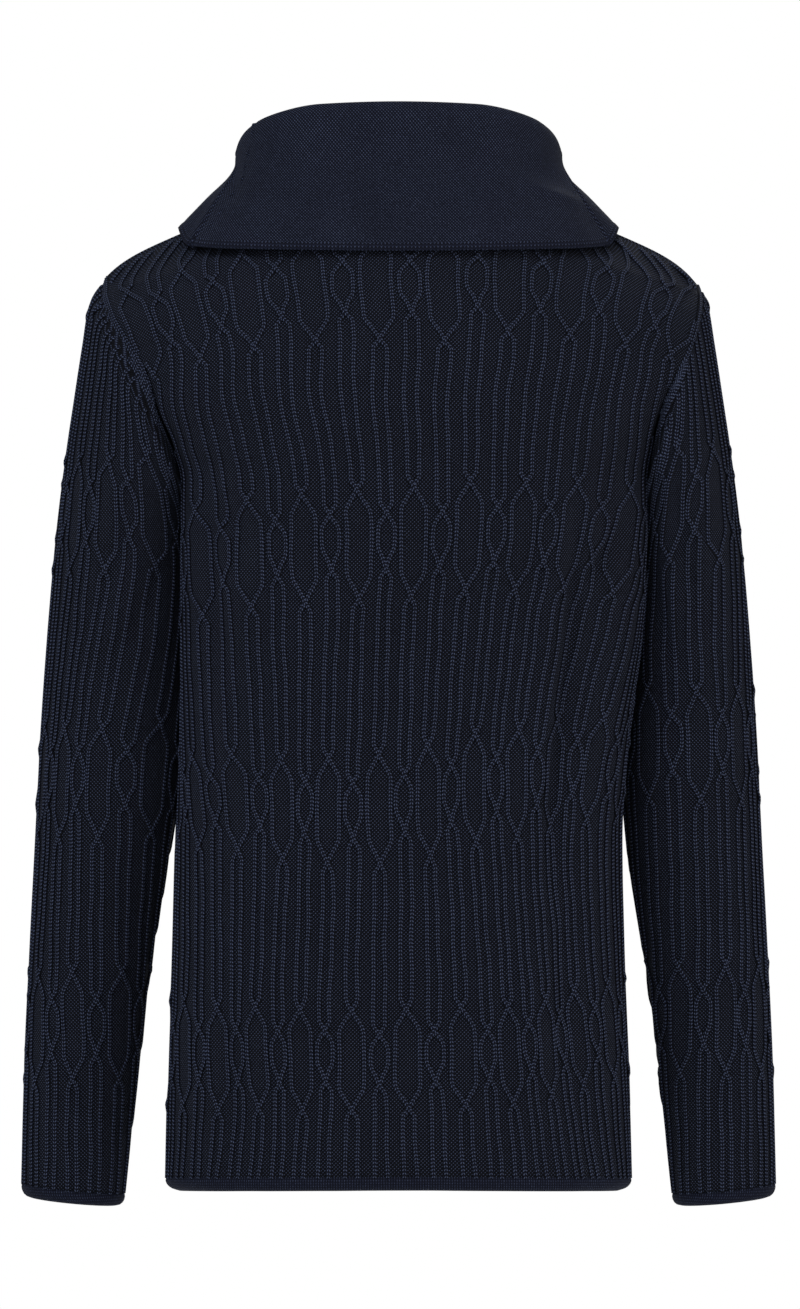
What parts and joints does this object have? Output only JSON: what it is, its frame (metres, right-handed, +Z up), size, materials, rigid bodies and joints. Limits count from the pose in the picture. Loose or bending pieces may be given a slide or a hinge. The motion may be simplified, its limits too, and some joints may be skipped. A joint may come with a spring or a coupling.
{
  "type": "ribbed sweater",
  "caption": "Long-sleeved navy pullover in travelling-rib knit with a deep turned-down collar, hollow and filled out as when worn.",
  "frame": {"origin": "middle of the neck, level with the shoulders, where the wearer holds the garment up", "axes": "+Z up, +Y the way the wearer faces, +X to the wearer's right; the back panel faces -Y"},
  "size_m": [0.5332, 0.2398, 0.7713],
  "materials": {
    "ribbed_knit": "matt navy cotton-type yarn, raised travelling ribs on a purl ground",
    "plain_knit": "matt navy yarn, fine plain knit",
    "welt": "matt navy yarn, narrow plain welt"
  },
  "bodies": {
    "root": {"back": "ribbed_knit", "front": "ribbed_knit", "sleeve_left": "ribbed_knit", "sleeve_right": "ribbed_knit", "collar_back": "plain_knit", "collar_front": "plain_knit", "hem_back": "welt", "hem_front": "welt", "cuff_left": "welt", "cuff_right": "welt"}
  },
  "joints": []
}
